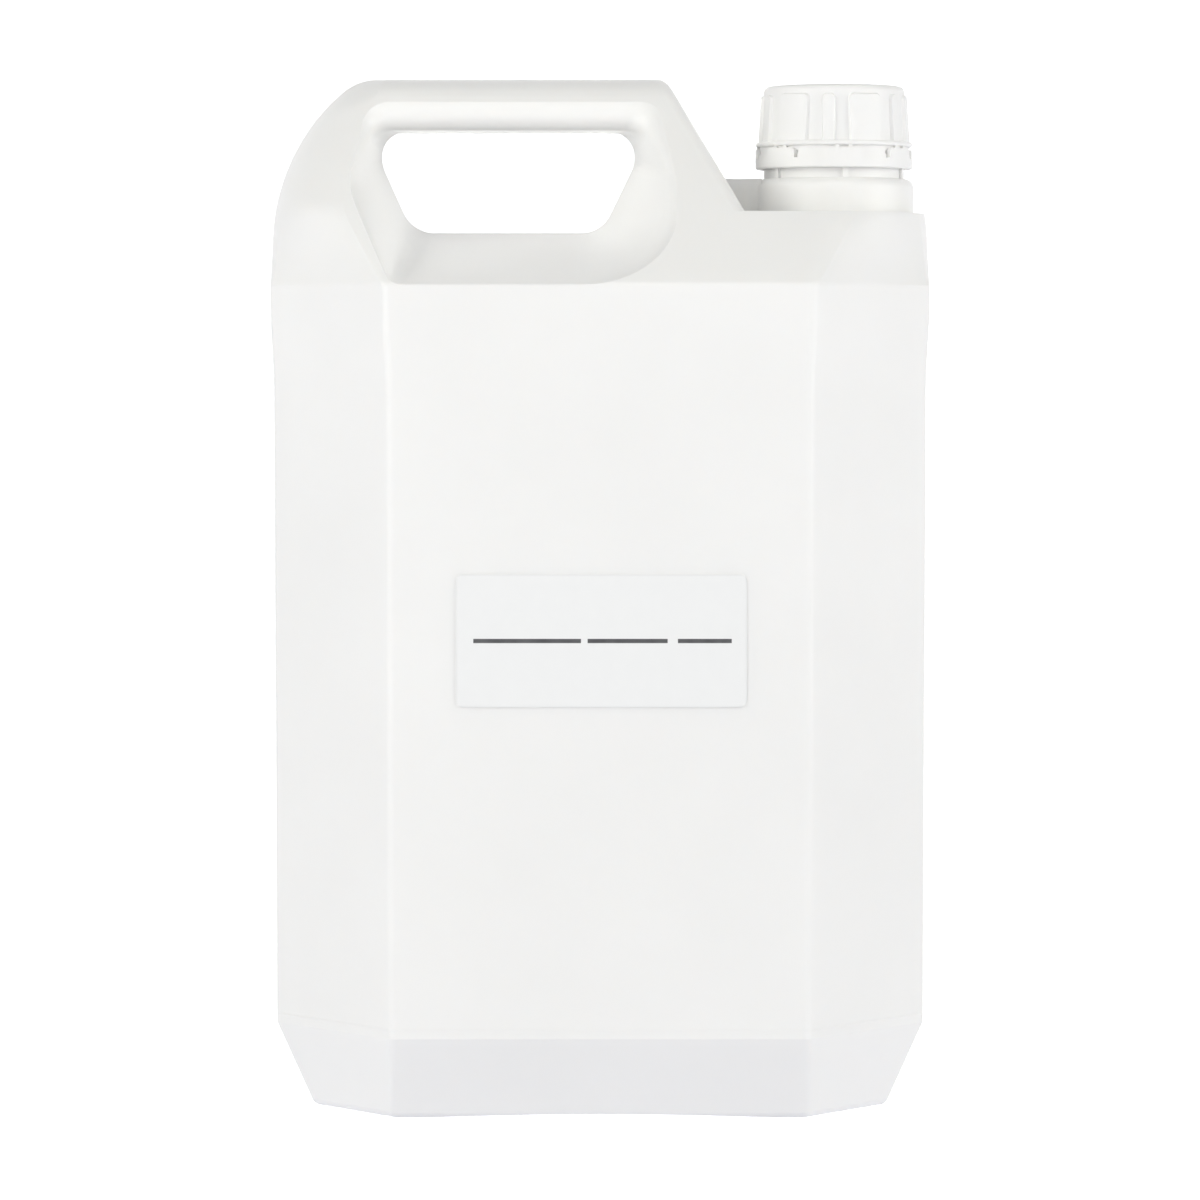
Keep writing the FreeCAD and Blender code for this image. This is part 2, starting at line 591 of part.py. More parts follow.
def land(first, arc):
    """Stretch of the band between two windows, rising to its lip by sloped shoulders."""
    base = BAND_BOTTOM + BAND_HEIGHT
    low = sector(first, arc, LINK_RADIUS - SINK / 4, BAND_RADIUS, base - SINK / 4, SINK / 4)
    steps = 3
    for k in range(1, steps + 1):
        inset = LIP_SHOULDER * (1 - math.cos(k * math.pi / 2 / steps))
        rise = BAND_LIP * math.sin(k * math.pi / 2 / steps)
        low = low.fuse(sector(first + inset, arc - 2 * inset, LINK_RADIUS - SINK / 4, BAND_RADIUS,
                              base - SINK / 4, SINK / 4 + rise))
    return low


def window(centre):
    """Everything cut out for one window of the band: opening, ledge and end notch."""
    first = centre - WINDOW_ARC / 2
    top = BAND_BOTTOM + BAND_HEIGHT
    low = top - WINDOW_DROP
    outer = BAND_RADIUS + SINK
    opening = sector(first, WINDOW_ARC, LINK_RADIUS + LEDGE_PROUD, outer, low, WINDOW_DROP + 0.01)
    above = sector(first, WINDOW_ARC, LINK_RADIUS, outer, low + LEDGE_HEIGHT,
                   WINDOW_DROP - LEDGE_HEIGHT + 0.01)
    far = first if centre < 0 else first + WINDOW_ARC - NOTCH_ARC
    notch_cut = sector(far, NOTCH_ARC, LINK_RADIUS - NOTCH_DEPTH, outer, low, WINDOW_DROP + 0.01)
    return opening.fuse([above, notch_cut])


def bridges(middle):
    """The two small bridges of one land between band and bead."""
    found = []
    depth = BEAD_RADIUS - LINK_RADIUS
    for spread in (-BRIDGE_SPREAD, BRIDGE_SPREAD):
        corner = V(-BRIDGE_WIDTH / 2, CAP_FIT - BEAD_RADIUS, BEAD_Z - SLOT_HEIGHT - BRIDGE_WIDTH / 2)
        bridge = Part.makeBox(BRIDGE_WIDTH, depth, SLOT_HEIGHT + BRIDGE_WIDTH, corner)
        bridge.rotate(V(0, 0, 0), V(0, 0, 1), middle + spread)
        found.append(bridge)
    return found


def cap():
    """Screw cap and tamper band, one moulding joined by small bridges."""
    shape = cap_blank().fuse(grip_panels())
    pitch = 360.0 / WINDOWS
    for k in range(WINDOWS):
        centre = (WINDOW_FIRST + k * pitch + 180) % 360 - 180
        shape = shape.cut(window(centre))
        raised = land(centre + WINDOW_ARC / 2, pitch - WINDOW_ARC)
        shape = shape.fuse([raised] + bridges(centre + pitch / 2))
    shape.translate(V(NECK_X, 0, 0))
    return shape


def label():
    """Film label on the front panel."""
    half = LABEL_WIDTH / 2
    low = LABEL_Z - LABEL_HEIGHT / 2
    high = LABEL_Z + LABEL_HEIGHT / 2
    points = [(LABEL_X - half, low), (LABEL_X + half, low), (LABEL_X + half, high), (LABEL_X - half, high)]
    wire = rounded_polygon([(V(x, -HALF_DEPTH, z), LABEL_RADIUS) for x, z in points])
    return Part.Face(wire).extrude(V(0, -LABEL_FILM, 0))


os.makedirs("parts", exist_ok=True)
for name, build in (("jug_body", jug), ("screw_cap", cap), ("label", label)):
    shape = build()
    if len(shape.Solids) != 1:
        raise RuntimeError(name + " is not one solid")
    shape.Solids[0].exportStep("parts/" + name + ".step")
    print(name, shape.isValid(), round(shape.Volume / 1000.0, 2), "cm3")
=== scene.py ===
import math

import bpy
import numpy as np
from bpy.props import FloatProperty, FloatVectorProperty, PointerProperty
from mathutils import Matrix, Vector


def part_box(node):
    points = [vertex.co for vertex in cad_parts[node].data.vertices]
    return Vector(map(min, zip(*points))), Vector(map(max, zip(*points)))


bl_info = {
    "name": "Syrup Jug",
    "version": (1, 0, 0),
    "blender": (4, 5, 0),
    "location": "3D View > Sidebar > Syrup Jug",
    "description": "Finishes and studio for a five-litre plastic jug with a screw cap and a label",
    "category": "Object",
}

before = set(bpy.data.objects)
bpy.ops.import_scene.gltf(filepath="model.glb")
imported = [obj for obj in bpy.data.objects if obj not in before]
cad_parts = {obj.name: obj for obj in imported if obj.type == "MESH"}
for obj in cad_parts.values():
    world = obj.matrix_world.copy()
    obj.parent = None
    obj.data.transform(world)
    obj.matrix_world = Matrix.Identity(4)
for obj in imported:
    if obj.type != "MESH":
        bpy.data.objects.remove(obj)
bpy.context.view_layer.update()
MM = 0.001

# Polyethylene of the can and the cap.
PLASTIC_IOR = 1.51
PLASTIC_SPECULAR = 0.42
GLOW_WEIGHT = 0.22                           # share of the light that spreads inside the wall
GLOW_DEPTH = (6.0 * MM, 5.5 * MM, 5.0 * MM)  # how far its red, green and blue spread
MOTTLE_SCALE = 14.0                          # cells of the mottle in a metre
MOTTLE_SPAN = (0.3, 0.7)                     # values of the mottle that its effects run between
MOTTLE_SHADES = (0.985, 1.012)               # its darkest and palest colour, as shares
MOTTLE_GLOSS = (-0.05, 0.06)                 # its changes of the roughness
WORN_POINTINESS = (0.52, 0.60)               # where wear starts and where it is full
WORN_COVER = 0.35                            # how much of the rubbed colour full wear shows
RUBBED_SHADE = 1.05                          # the rubbed colour, as a share of the plastic's

# Reliefs of the surface, each with its strength and its height.
RIPPLE_RELIEF = (0.35, 0.6 * MM)
GRAIN_RELIEF = (0.18, 0.04 * MM)
SEAM_RELIEF = (0.6, 0.12 * MM)
FILM_RELIEF = (0.1, 0.03 * MM)

# Mould lines of the can.
SIDE_SEAM = 0.0                              # Y of the plane between the halves of the mould
FOOT_LINE = 26.5 * MM                        # height of the line round the foot
FOOT_LINE_SHARE = 0.8                        # its width, as a share of the side seam's
LINE_ROUNDING = 0.5                          # how softly a line's ridge is rounded at its top

# Label.
FILM_SCALE = 220.0                           # cells of the film's mottle in a metre
FILM_SHADES = (0.985, 1.01)
FILM_ROUGHNESS = (0.36, 0.46)
RIM_SHADE = 0.955
DASHES = ((0.245, 0.370), (0.590, 0.275), (0.855, 0.185))  # centre and length, as shares of the width
INK_EDGE = 0.1 * MM
INK_WEAR = 0.12                              # most of the ink that the film's mottle takes off

# Studio.  Its lengths are in metres, and the sensor's width is in millimetres.
FLOOR_HALF_WIDTH, FLOOR_FRONT, FLOOR_BACK = 4.0, 4.0, 3.4
FLOOR_TURN, BACKDROP_HEIGHT = 0.8, 4.0       # radius of the turn, and how high the backdrop goes
TURN_POINTS = 25
FLOOR_ROUGHNESS = 0.9
FLOOR_GLOW = 0.9
LAMP_WIDTH, LAMP_HEIGHT = 0.9, 1.2
LAMP_DISTANCE = 1.7                          # from the jug's upright axis
LAMP_TARGET = (0, 0, 0.15)
HORIZON = (-0.35, 0.25)                      # upward parts of the directions that bound the blend
SENSOR_WIDTH = 36


# ---- settings --------------------------------------------------------------

class PlasticSettings(bpy.types.PropertyGroup):
    """Colours and surface of the moulded polyethylene."""
    can_colour: FloatVectorProperty(
        name="Can colour", description="Colour of the moulded can",
        subtype="COLOR", size=3, min=0, max=1, default=(0.848, 0.844, 0.832))
    cap_colour: FloatVectorProperty(
        name="Cap colour", description="Colour of the screw cap",
        subtype="COLOR", size=3, min=0, max=1, default=(0.862, 0.855, 0.842))
    roughness: FloatProperty(
        name="Roughness", description="Roughness of the can's satin skin",
        subtype="FACTOR", min=0, max=1, default=0.42)
    cap_roughness: FloatProperty(
        name="Cap roughness", description="Roughness of the cap's skin",
        subtype="FACTOR", min=0, max=1, default=0.52)
    grain_size: FloatProperty(
        name="Grain size", description="Width of one grain of the moulded skin",
        subtype="DISTANCE", unit="LENGTH", min=0.0001, max=0.01, default=0.0009)
    ripple_size: FloatProperty(
        name="Ripple size", description="Width of the slow waves of the blown wall",
        subtype="DISTANCE", unit="LENGTH", min=0.005, max=0.2, default=0.038)
    seam_width: FloatProperty(
        name="Seam width", description="Width of the raised mould seam",
        subtype="DISTANCE", unit="LENGTH", min=0.0001, max=0.002, default=0.0006)


class LabelSettings(bpy.types.PropertyGroup):
    """Colours, printed dashes and rim of the label."""
    film_colour: FloatVectorProperty(
        name="Film colour", description="Colour of the bare label",
        subtype="COLOR", size=3, min=0, max=1, default=(0.797, 0.800, 0.795))
    ink_colour: FloatVectorProperty(
        name="Ink colour", description="Colour of the printed dashes",
        subtype="COLOR", size=3, min=0, max=1, default=(0.03, 0.03, 0.033))
    dash_height: FloatProperty(
        name="Dash height", description="Height of the printed dashes",
        subtype="DISTANCE", unit="LENGTH", min=0.0003, max=0.01, default=0.0012)
    rim_width: FloatProperty(
        name="Rim width", description="Width of the faint darker rim of the film",
        subtype="DISTANCE", unit="LENGTH", min=0.0001, max=0.005, default=0.0005)


class StudioSettings(bpy.types.PropertyGroup):
    """Camera and lights round the jug."""
    lens: FloatProperty(
        name="Lens", description="Focal length of the camera",
        subtype="DISTANCE_CAMERA", min=20, max=400, default=153.4)
    camera_distance: FloatProperty(
        name="Camera distance", description="From the middle of the jug to the camera",
        subtype="DISTANCE", unit="LENGTH", min=0.3, max=5, default=1.50)
    camera_height: FloatProperty(
        name="Camera height", description="Height of the camera over the floor",
        subtype="DISTANCE", unit="LENGTH", min=0, max=2, default=0.2184)
    camera_tilt: FloatProperty(
        name="Camera tilt", description="How far the camera looks down",
        subtype="ANGLE", min=-1, max=1.5, default=math.radians(2.79))
    left_power: FloatProperty(
        name="Left light", description="Power of the softbox at the front left",
        subtype="POWER", min=0, max=500, default=12.1)
    left_high_power: FloatProperty(
        name="High left light", description="Power of the high softbox at the left",
        subtype="POWER", min=0, max=500, default=8.0)
    front_power: FloatProperty(
        name="Front light", description="Power of the high softbox in front",
        subtype="POWER", min=0, max=500, default=10.4)
    right_power: FloatProperty(
        name="Right light", description="Power of the softbox at the right",
        subtype="POWER", min=0, max=500, default=17.2)
    back_power: FloatProperty(
        name="Back light", description="Power of the low softbox behind the jug",
        subtype="POWER", min=0, max=500, default=9.0)
    lamp_colour: FloatVectorProperty(
        name="Lamp colour", description="Colour of the softboxes",
        subtype="COLOR", size=3, min=0, max=1, default=(1.0, 1.0, 0.935))
    fill_colour: FloatVectorProperty(
        name="Fill colour", description="Colour of the even light all round",
        subtype="COLOR", size=3, min=0, max=1, default=(0.90, 0.91, 1.0))
    floor_colour: FloatVectorProperty(
        name="Floor colour", description="Colour of the floor and backdrop",
        subtype="COLOR", size=3, min=0, max=1, default=(0.95, 0.95, 0.95))
    sky_strength: FloatProperty(
        name="Sky", description="Strength of the even light from above",
        min=0, max=5, default=0.25)
    ground_strength: FloatProperty(
        name="Ground", description="Strength of the even light from below",
        min=0, max=5, default=0.872)


class JugSettings(bpy.types.PropertyGroup):
    """The settings of the plastic, the label and the studio."""
    plastic: PointerProperty(type=PlasticSettings)
    label: PointerProperty(type=LabelSettings)
    studio: PointerProperty(type=StudioSettings)


# ---- node helpers ----------------------------------------------------------

def add(nodes, kind, name, **values):
    """Adds a shader node and sets its plain attributes."""
    node = nodes.new(kind)
    node.name = node.label = name
    for key, value in values.items():
        setattr(node, key, value)
    return node


def feed(links, socket, value):
    """Gives an input its value: another socket is linked, and anything else is set."""
    if hasattr(value, "is_output"):
        links.new(value, socket)
    else:
        socket.default_value = value


def node_math(nodes, links, operation, name, *values, clamp=False):
    """One Math node; the values are sockets or numbers."""
    node = add(nodes, "ShaderNodeMath", name, operation=operation, use_clamp=clamp)
    for socket, value in zip(node.inputs, values):
        feed(links, socket, value)
    return node.outputs[0]


def remap(nodes, links, name, value, source, target, interpolation="LINEAR"):
    """A Map Range node that carries the value from the source span onto the target span."""
    node = add(nodes, "ShaderNodeMapRange", name, interpolation_type=interpolation)
    links.new(value, node.inputs["Value"])
    for key, bound in zip(("From Min", "From Max", "To Min", "To Max"), (*source, *target)):
        feed(links, node.inputs[key], bound)
    return node.outputs["Result"]


def blend(nodes, links, name, factor, first, second):
    """A Mix node for colours: the first at factor 0 and the second at factor 1."""
    node = add(nodes, "ShaderNodeMix", name, data_type="RGBA")
    for key, value in (("Factor", factor), ("A", first), ("B", second)):
        feed(links, node.inputs[key], value)
    return node.outputs["Result"]


def relief(nodes, links, name, height, strength, distance, normal=None):
    """A Bump node, laid over another normal where there is one."""
    node = add(nodes, "ShaderNodeBump", name)
    node.inputs["Strength"].default_value = strength
    node.inputs["Distance"].default_value = distance
    links.new(height, node.inputs["Height"])
    if normal is not None:
        links.new(normal, node.inputs["Normal"])
    return node.outputs["Normal"]


def shade(colour, share=1.0):
    """A colour times a share, with no channel over 1 and a full alpha."""
    return (*[min(1.0, channel * share) for channel in colour], 1)


def new_material(name):
    """A material, its nodes, its links and its Principled shader."""
    material = bpy.data.materials.new(name)
    material.use_nodes = True
    nodes = material.node_tree.nodes
    return material, nodes, material.node_tree.links, nodes["Principled BSDF"]


def place_on_jug(nodes, links):
    """Object coordinates, which are the jug's own on every piece: whole, and as X, Y and Z."""
    place = add(nodes, "ShaderNodeTexCoord", "Place on the jug").outputs["Object"]
    split = add(nodes, "ShaderNodeSeparateXYZ", "Coordinates")
    links.new(place, split.inputs[0])
    return place, split.outputs


def use_group(nodes, links, group, name, **inputs):
    """Places a node group, feeds its inputs with sockets or numbers and gives its outputs."""
    node = add(nodes, "ShaderNodeGroup", name, node_tree=group)
    for key, value in inputs.items():
        feed(links, node.inputs[key.replace("_", " ")], value)
    return node.outputs


# ---- node groups -----------------------------------------------------------

def new_group(name, inputs, outputs):
    """An empty shader node group.

    inputs lists each input's name, type and default, and outputs the names of the outputs.
    """
    group = bpy.data.node_groups.new(name, "ShaderNodeTree")
    for label, kind, default in inputs:
        socket = group.interface.new_socket(label, in_out="INPUT", socket_type=kind)
        if default is not None:
            socket.default_value = default
    for label in outputs:
        group.interface.new_socket(label, in_out="OUTPUT", socket_type="NodeSocketFloat")
    start = group.nodes.new("NodeGroupInput")
    end = group.nodes.new("NodeGroupOutput")
    return group, start.outputs, end.inputs


def moulded_skin_group():
    """Grain, ripple and mottle of a moulded polyethylene wall, each from 0 to 1.

    Grain and ripple are noises whose cells are as wide as the two sizes, for use as heights.
    The mottle is a wide noise for faint changes of colour and gloss over the wall.
    """
    name = "Moulded skin"
    if name in bpy.data.node_groups:
        return bpy.data.node_groups[name]
    group, start, end = new_group(
        name,
        [("Position", "NodeSocketVector", None), ("Grain size", "NodeSocketFloat", 0.001),
         ("Ripple size", "NodeSocketFloat", 0.03)],
        ["Grain", "Ripple", "Mottle"])
    nodes, links = group.nodes, group.links
    for label, detail in (("Grain", 3.0), ("Ripple", 1.0)):
        scale = node_math(nodes, links, "DIVIDE", label + " scale", 1.0, start[label + " size"])
        noise = add(nodes, "ShaderNodeTexNoise", label + " noise")
        noise.inputs["Detail"].default_value = detail
        links.new(start["Position"], noise.inputs["Vector"])
        links.new(scale, noise.inputs["Scale"])
        links.new(noise.outputs["Fac"], end[label])
    mottle = add(nodes, "ShaderNodeTexNoise", "Mottle noise")
    mottle.inputs["Scale"].default_value = MOTTLE_SCALE
    mottle.inputs["Detail"].default_value = 4.0
    mottle.inputs["Roughness"].default_value = 0.6
    links.new(start["Position"], mottle.inputs["Vector"])
    links.new(mottle.outputs["Fac"], end["Mottle"])
    return group


def edge_wear_group():
    """Wear of the raised edges: 0 where the surface is flat or hollow, the cover on an edge.

    It is the pointiness, carried from the span of the wear onto 0 to the cover.
    """
    name = "Edge wear"
    if name in bpy.data.node_groups:
        return bpy.data.node_groups[name]
    group, start, end = new_group(name, [("Cover", "NodeSocketFloat", 1.0)], ["Wear"])
    nodes, links = group.nodes, group.links
    edges = add(nodes, "ShaderNodeNewGeometry", "Edges").outputs["Pointiness"]
    worn = remap(nodes, links, "Worn edges", edges, WORN_POINTINESS, (0, start["Cover"]))
    links.new(worn, end["Wear"])
    return group


def line_mask_group():
    """A ridge where a coordinate passes a value: high on the line, 0 from a width away.

    The ridge is 1 - |coordinate - place| / width, with its top rounded off.
    """
    name = "Line mask"
    if name in bpy.data.node_groups:
        return bpy.data.node_groups[name]
    group, start, end = new_group(
        name,
        [("Coordinate", "NodeSocketFloat", 0.0), ("At", "NodeSocketFloat", 0.0),
         ("Width", "NodeSocketFloat", 0.001)],
        ["Mask"])
    nodes, links = group.nodes, group.links
    away = node_math(nodes, links, "SUBTRACT", "Away", start["Coordinate"], start["At"])
    away = node_math(nodes, links, "ABSOLUTE", "Distance", away)
    share = node_math(nodes, links, "DIVIDE", "Share of the width", away, start["Width"])
    ridge = node_math(nodes, links, "SUBTRACT", "Falls off", 1.0, share, clamp=True)
    rounded = node_math(nodes, links, "SMOOTH_MIN", "Rounded", ridge, 1.0, LINE_ROUNDING)
    links.new(rounded, end["Mask"])
    return group


def box_mask_group():
    """A soft-edged rectangle: 1 inside it, 0 outside.

    The distance past a pair of sides is |coordinate - centre| - half the size.  The larger
    of the two pairs' distances, as a share of the edge's width, is taken from 0.5, so that
    the mask is a half on the sides themselves.
    """
    name = "Box mask"
    if name in bpy.data.node_groups:
        return bpy.data.node_groups[name]
    group, start, end = new_group(
        name,
        [("Across", "NodeSocketFloat", 0.0), ("Up", "NodeSocketFloat", 0.0),
         ("Centre across", "NodeSocketFloat", 0.0), ("Centre up", "NodeSocketFloat", 0.0),
         ("Half width", "NodeSocketFloat", 0.01), ("Half height", "NodeSocketFloat", 0.01),
         ("Edge", "NodeSocketFloat", 0.0001)],
        ["Mask"])
    nodes, links = group.nodes, group.links
    beyond = []
    for coordinate, centre, half in (("Across", "Centre across", "Half width"),
                                     ("Up", "Centre up", "Half height")):
        away = node_math(nodes, links, "SUBTRACT", "Away", start[coordinate], start[centre])
        away = node_math(nodes, links, "ABSOLUTE", "Distance", away)
        beyond.append(node_math(nodes, links, "SUBTRACT", "Beyond the side", away, start[half]))
    outside = node_math(nodes, links, "MAXIMUM", "Outside", *beyond)
    share = node_math(nodes, links, "DIVIDE", "Share of the edge", outside, start["Edge"])
    mask = node_math(nodes, links, "SUBTRACT", "Fades out", 0.5, share, clamp=True)
    links.new(mask, end["Mask"])
    return group


# ---- materials -------------------------------------------------------------

def plastic_material(name, colour, roughness, settings, seams):
    """Satin polyethylene: faint mottle, fine grain, slow ripple, light wear on the edges.

    seams is a list of (axis, place, width) for the raised mould lines.
    """
    material, nodes, links, shader = new_material(name)
    shader.inputs["IOR"].default_value = PLASTIC_IOR
    shader.inputs["Specular IOR Level"].default_value = PLASTIC_SPECULAR
    shader.inputs["Subsurface Weight"].default_value = GLOW_WEIGHT
    shader.inputs["Subsurface Radius"].default_value = GLOW_DEPTH
    shader.inputs["Subsurface Scale"].default_value = 1.0
    place, axes = place_on_jug(nodes, links)
    skin = use_group(nodes, links, moulded_skin_group(), "Skin", Position=place,
                     Grain_size=settings.grain_size, Ripple_size=settings.ripple_size)
    tint = remap(nodes, links, "Tint range", skin["Mottle"], MOTTLE_SPAN, (0, 1))
    dark, pale = [shade(colour, share) for share in MOTTLE_SHADES]
    mottled = blend(nodes, links, "Mottled colour", tint, dark, pale)
    wear = use_group(nodes, links, edge_wear_group(), "Edge wear", Cover=WORN_COVER)["Wear"]
    rubbed = blend(nodes, links, "Rubbed colour", wear, mottled, shade(colour, RUBBED_SHADE))
    links.new(rubbed, shader.inputs["Base Color"])
    gloss = remap(nodes, links, "Roughness range", skin["Mottle"], MOTTLE_SPAN,
                  [roughness + change for change in MOTTLE_GLOSS])
    links.new(gloss, shader.inputs["Roughness"])
    normal = relief(nodes, links, "Ripple relief", skin["Ripple"], *RIPPLE_RELIEF)
    normal = relief(nodes, links, "Grain relief", skin["Grain"], *GRAIN_RELIEF, normal)
    for axis, at, width in seams:
        line = use_group(nodes, links, line_mask_group(), "Mould line " + axis,
                         Coordinate=axes[axis], At=at, Width=width)
        normal = relief(nodes, links, "Raised line " + axis, line["Mask"], *SEAM_RELIEF, normal)
    links.new(normal, shader.inputs["Normal"])
    return material


def label_material(settings, low, high):
    """Smooth film with a faint darker rim and one row of plain printed dashes.

    low and high are the corners of the label's box.  Rim and dashes are rectangles about
    the label's middle height.
    """
    width, height = high[0] - low[0], high[2] - low[2]
    middle_up = (low[2] + high[2]) / 2
    material, nodes, links, shader = new_material("Label film")
    place, axes = place_on_jug(nodes, links)

    def rectangle(name, centre, half_width, half_height, edge):
        """Mask of a rectangle whose centre is as high as the label's."""
        return use_group(nodes, links, box_mask_group(), name, Across=axes["X"], Up=axes["Z"],
                         Centre_across=centre, Centre_up=middle_up,
                         Half_width=half_width, Half_height=half_height, Edge=edge)["Mask"]

    fibre = add(nodes, "ShaderNodeTexNoise", "Film mottle")
    fibre.inputs["Scale"].default_value = FILM_SCALE
    fibre.inputs["Detail"].default_value = 3.0
    links.new(place, fibre.inputs["Vector"])
    mottle = fibre.outputs["Fac"]
    dark, pale = [shade(settings.film_colour, share) for share in FILM_SHADES]
    film = blend(nodes, links, "Film colour", mottle, dark, pale)
    rim = settings.rim_width
    inner = rectangle("Inside the rim", (low[0] + high[0]) / 2, width / 2 - rim, height / 2 - rim, rim)
    rimmed = blend(nodes, links, "Rim colour", inner, shade(settings.film_colour, RIM_SHADE), film)
    ink = None
    for centre, share in DASHES:
        dash = rectangle("Dash at %.3f" % centre, low[0] + centre * width, share * width / 2,
                         settings.dash_height / 2, INK_EDGE)
        ink = dash if ink is None else node_math(nodes, links, "MAXIMUM", "Either dash", ink, dash)
    kept = node_math(nodes, links, "MULTIPLY_ADD", "Ink wear", mottle, -INK_WEAR, 1.0)
    cover = node_math(nodes, links, "MULTIPLY", "Ink cover", ink, kept, clamp=True)
    printed = blend(nodes, links, "Printed colour", cover, rimmed, shade(settings.ink_colour))
    links.new(printed, shader.inputs["Base Color"])
    gloss = remap(nodes, links, "Roughness range", mottle, (0, 1), FILM_ROUGHNESS)
    links.new(gloss, shader.inputs["Roughness"])
    normal = relief(nodes, links, "Film relief", mottle, *FILM_RELIEF)
    links.new(normal, shader.inputs["Normal"])
    return material


def dress(node, material):
    """Gives a CAD node's object one material in all its slots."""
    piece = bpy.data.objects[node]
    if not piece.material_slots:
        piece.data.materials.append(material)
    for slot in piece.material_slots:
        slot.material = material


# ---- stage -----------------------------------------------------------------

def sweep_floor(name, half_width, front, back, radius, height):
    """Floor that turns up into a backdrop: a flat run, a quarter circle and an upright run,
    carried straight along X."""
    turn = np.linspace(0.0, math.pi / 2, TURN_POINTS)
    y = np.concatenate(([-front], back - radius + radius * np.sin(turn), [back]))
    z = np.concatenate(([0.0], radius - radius * np.cos(turn), [height]))
    x = np.array([-half_width, half_width])
    count = len(y)
    grid = np.stack([np.repeat(x, count), np.tile(y, 2), np.tile(z, 2)], axis=1)
    first = np.arange(count - 1)
    faces = np.stack([first, first + count, first + count + 1, first + 1], axis=1)
    mesh = bpy.data.meshes.new(name)
    mesh.from_pydata(grid.tolist(), [], faces.tolist())
    mesh.polygons.foreach_set("use_smooth", [True] * len(faces))
    floor = bpy.data.objects.new(name, mesh)
    bpy.context.scene.collection.objects.link(floor)
    return floor


def softbox(name, bearing, height, power, colour):
    """Rectangular area light aimed at the middle of the jug.

    It stands at the lamps' distance from the jug's upright axis, at the bearing's sine
    across and its cosine to the front.
    """
    place = (LAMP_DISTANCE * math.sin(bearing), -LAMP_DISTANCE * math.cos(bearing), height)
    lamp = bpy.data.lights.new(name, "AREA")
    lamp.shape = "RECTANGLE"
    lamp.size = LAMP_WIDTH
    lamp.size_y = LAMP_HEIGHT
    lamp.energy = power
    lamp.color = colour
    box = bpy.data.objects.new(name, lamp)
    box.location = place
    box.rotation_euler = (Vector(LAMP_TARGET) - Vector(place)).to_track_quat("-Z", "Y").to_euler()
    bpy.context.scene.collection.objects.link(box)


def fill_light(studio):
    """World light that goes smoothly from the ground strength to the sky strength.

    Seen directly, past the edge of the floor, it is white.
    """
    world = bpy.data.worlds.new("Studio fill")
    world.use_nodes = True
    nodes, links = world.node_tree.nodes, world.node_tree.links
    light = nodes["Background"]
    light.inputs["Color"].default_value = shade(studio.fill_colour)
    direction = add(nodes, "ShaderNodeTexCoord", "Direction")
    split = add(nodes, "ShaderNodeSeparateXYZ", "Height of the direction")
    links.new(direction.outputs["Generated"], split.inputs[0])
    strength = remap(nodes, links, "Ground to sky", split.outputs["Z"], HORIZON,
                     (studio.ground_strength, studio.sky_strength), "SMOOTHSTEP")
    links.new(strength, light.inputs["Strength"])
    seen = add(nodes, "ShaderNodeBackground", "Seen past the floor")
    seen.inputs["Color"].default_value = (1, 1, 1, 1)
    ray = add(nodes, "ShaderNodeLightPath", "Ray")
    choice = add(nodes, "ShaderNodeMixShader", "Light or backdrop")
    links.new(ray.outputs["Is Camera Ray"], choice.inputs["Fac"])
    links.new(light.outputs["Background"], choice.inputs[1])
    links.new(seen.outputs["Background"], choice.inputs[2])
    links.new(choice.outputs["Shader"], nodes["World Output"].inputs["Surface"])
    return world


# ---- operators -------------------------------------------------------------

class JUG_OT_body(bpy.types.Operator):
    """Finishes the can in satin white polyethylene with its mould lines"""
    bl_idname = "syrup_jug.body"
    bl_label = "Finish the can"

    def execute(self, context):
        plastic = context.scene.syrup_jug.plastic
        low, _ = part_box("jug_body")
        seams = [("Y", SIDE_SEAM, plastic.seam_width),
                 ("Z", low[2] + FOOT_LINE, plastic.seam_width * FOOT_LINE_SHARE)]
        dress("jug_body", plastic_material("Can polyethylene", plastic.can_colour,
                                           plastic.roughness, plastic, seams))
        return {"FINISHED"}


class JUG_OT_cap(bpy.types.Operator):
    """Finishes the screw cap and its tamper band"""
    bl_idname = "syrup_jug.cap"
    bl_label = "Finish the cap"

    def execute(self, context):
        plastic = context.scene.syrup_jug.plastic
        dress("screw_cap", plastic_material("Cap polyethylene", plastic.cap_colour,
                                            plastic.cap_roughness, plastic, []))
        return {"FINISHED"}


class JUG_OT_label(bpy.types.Operator):
    """Finishes the label film with its rim and printed dashes"""
    bl_idname = "syrup_jug.label"
    bl_label = "Finish the label"

    def execute(self, context):
        low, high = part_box("label")
        dress("label", label_material(context.scene.syrup_jug.label, low, high))
        return {"FINISHED"}


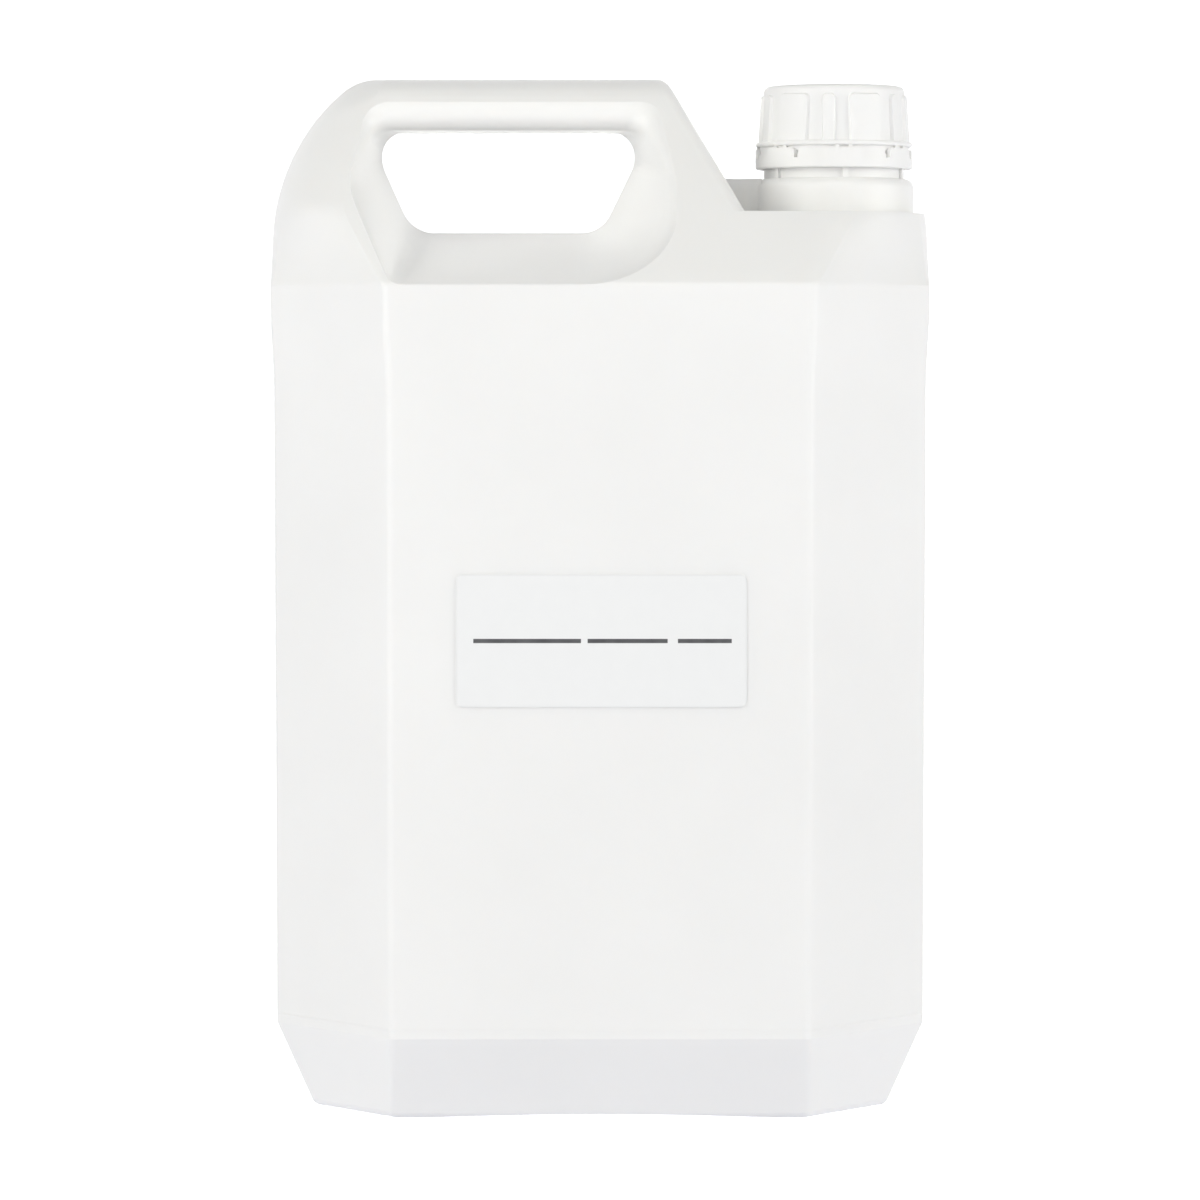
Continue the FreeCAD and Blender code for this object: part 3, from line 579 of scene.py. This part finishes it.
class JUG_OT_studio(bpy.types.Operator):
    """Builds the pale floor, the soft lights and the camera"""
    bl_idname = "syrup_jug.studio"
    bl_label = "Build the studio"

    def execute(self, context):
        studio = context.scene.syrup_jug.studio
        floor = sweep_floor("floor", FLOOR_HALF_WIDTH, FLOOR_FRONT, FLOOR_BACK, FLOOR_TURN,
                            BACKDROP_HEIGHT)
        paint, _, _, shader = new_material("Backdrop")
        shader.inputs["Base Color"].default_value = shade(studio.floor_colour)
        shader.inputs["Roughness"].default_value = FLOOR_ROUGHNESS
        shader.inputs["Emission Color"].default_value = (1, 1, 1, 1)
        shader.inputs["Emission Strength"].default_value = FLOOR_GLOW
        floor.data.materials.append(paint)
        floor.visible_diffuse = False
        # Bearings are degrees from the front, and those above 0 are to the right.
        for name, bearing, height, power in (
                ("left_softbox", -45, 0.4, studio.left_power),
                ("left_high_softbox", -60, 1.3, studio.left_high_power),
                ("front_softbox", 0, 1.5, studio.front_power),
                ("right_softbox", 69.5, 0.4, studio.right_power),
                ("back_softbox", 180, 0.3, studio.back_power)):
            softbox(name, math.radians(bearing), height, power, studio.lamp_colour)
        context.scene.world = fill_light(studio)
        lens = bpy.data.cameras.new("camera")
        lens.lens = studio.lens
        lens.sensor_width = SENSOR_WIDTH
        camera = bpy.data.objects.new("camera", lens)
        camera.location = (0, -studio.camera_distance, studio.camera_height)
        camera.rotation_euler = (math.pi / 2 - studio.camera_tilt, 0, 0)
        context.scene.collection.objects.link(camera)
        context.scene.camera = camera
        context.scene.view_settings.view_transform = "Standard"
        return {"FINISHED"}


class JUG_PT_panel(bpy.types.Panel):
    """Lists the jug's settings and operators"""
    bl_label = "Syrup Jug"
    bl_idname = "JUG_PT_panel"
    bl_space_type = "VIEW_3D"
    bl_region_type = "UI"
    bl_category = "Syrup Jug"

    def draw(self, context):
        settings = context.scene.syrup_jug
        for group in (settings.plastic, settings.label, settings.studio):
            for name in group.__annotations__:
                self.layout.prop(group, name)
        for operator in OPERATORS:
            self.layout.operator(operator.bl_idname)


GROUPS = (PlasticSettings, LabelSettings, StudioSettings, JugSettings)
OPERATORS = (JUG_OT_body, JUG_OT_cap, JUG_OT_label, JUG_OT_studio)


def register():
    for item in GROUPS + OPERATORS + (JUG_PT_panel,):
        bpy.utils.register_class(item)
    bpy.types.Scene.syrup_jug = PointerProperty(type=JugSettings)


def unregister():
    del bpy.types.Scene.syrup_jug
    for item in reversed(GROUPS + OPERATORS + (JUG_PT_panel,)):
        bpy.utils.unregister_class(item)


def main():
    """Builds everything."""
    register()
    bpy.ops.syrup_jug.body()
    bpy.ops.syrup_jug.cap()
    bpy.ops.syrup_jug.label()
    bpy.ops.syrup_jug.studio()


if __name__ == "__main__":
    main()
